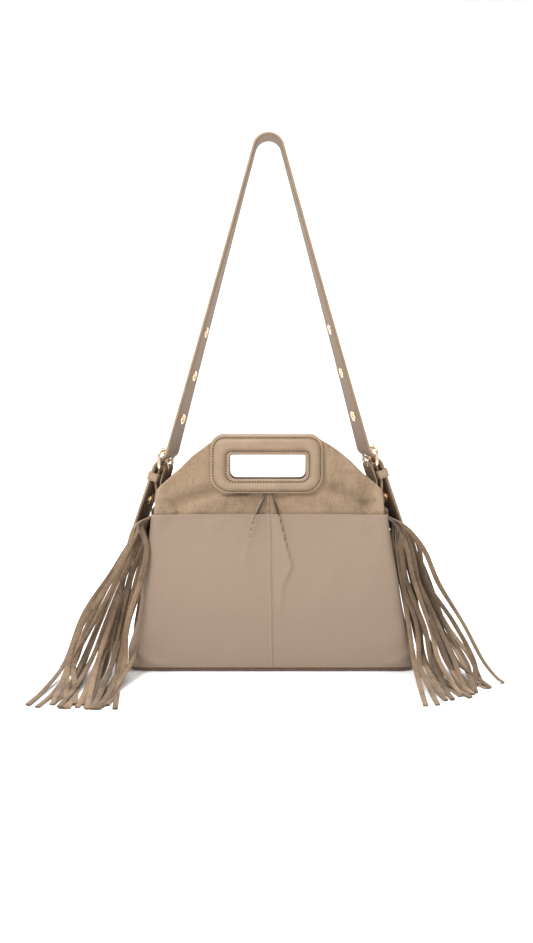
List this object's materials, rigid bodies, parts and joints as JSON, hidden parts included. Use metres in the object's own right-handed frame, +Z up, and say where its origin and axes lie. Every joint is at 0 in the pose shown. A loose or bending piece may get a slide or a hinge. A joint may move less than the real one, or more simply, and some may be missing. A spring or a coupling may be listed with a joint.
{
  "type": "fringed suede bag",
  "caption": "Standing suede bag with a padded leather hand slot in front and back, a buckled shoulder strap and long fringes at its sides.",
  "frame": {"origin": "centre of the bag's base, on the floor", "axes": "front faces -Y, +X to the right seen from the front, +Z up"},
  "size_m": [0.4707, 0.2304, 0.5788],
  "materials": {
    "suede": "napped sand-coloured suede",
    "leather": "smooth tan leather, stitched",
    "fringe_suede": "brown napped suede, cut edges",
    "gold": "polished light gold plating",
    "piping_leather": "rolled leather edge",
    "lining_cloth": "plain woven lining"
  },
  "bodies": {
    "bag": {"back_panel_left": "suede", "back_panel_right": "suede", "base_board": "lining_cloth", "base_panel": "suede", "base_piping": "piping_leather", "buckle_tab_left": "leather", "buckle_tab_right": "leather", "eyelet_left_1": "gold", "eyelet_left_2": "gold", "eyelet_left_3": "gold", "eyelet_left_4": "gold", "eyelet_left_5": "gold", "eyelet_right_1": "gold", "eyelet_right_2": "gold", "eyelet_right_3": "gold", "eyelet_right_4": "gold", "eyelet_right_5": "gold", "fringe_left_inner": "fringe_suede", "fringe_left_outer": "fringe_suede", "fringe_right_inner": "fringe_suede", "fringe_right_outer": "fringe_suede", "front_panel_left": "suede", "front_panel_right": "suede", "gusset_left": "suede", "gusset_right": "suede", "handle_plate_back": "leather", "handle_plate_front": "leather", "lining": "lining_cloth", "snap_socket_front": "gold", "snap_stud_back": "gold", "strap": "leather", "strap_keeper_left": "leather", "strap_keeper_right": "leather"},
    "buckle_left": {"buckle_frame_left": "gold"},
    "prong_left": {"prong_left": "gold"},
    "buckle_right": {"buckle_frame_right": "gold"},
    "prong_right": {"prong_right": "gold"}
  },
  "joints": [
    {"name": "buckle_swing_left", "type": "hinge", "parent": "bag", "child": "buckle_left", "pos_m": [-0.11694, 0, 0.21], "axis": [-0.309, -0.9511, 0], "range_deg": [-8, 0]},
    {"name": "prong_swing_left", "type": "hinge", "parent": "bag", "child": "prong_left", "pos_m": [-0.11694, 0, 0.21], "axis": [-0.309, -0.9511, 0], "range_deg": [0, 2.5]},
    {"name": "buckle_swing_right", "type": "hinge", "parent": "bag", "child": "buckle_right", "pos_m": [0.109, 0, 0.2135], "axis": [-0.309, 0.9511, 0], "range_deg": [-8, 0]},
    {"name": "prong_swing_right", "type": "hinge", "parent": "bag", "child": "prong_right", "pos_m": [0.109, 0, 0.2135], "axis": [-0.309, 0.9511, 0], "range_deg": [0, 2.5]}
  ]
}
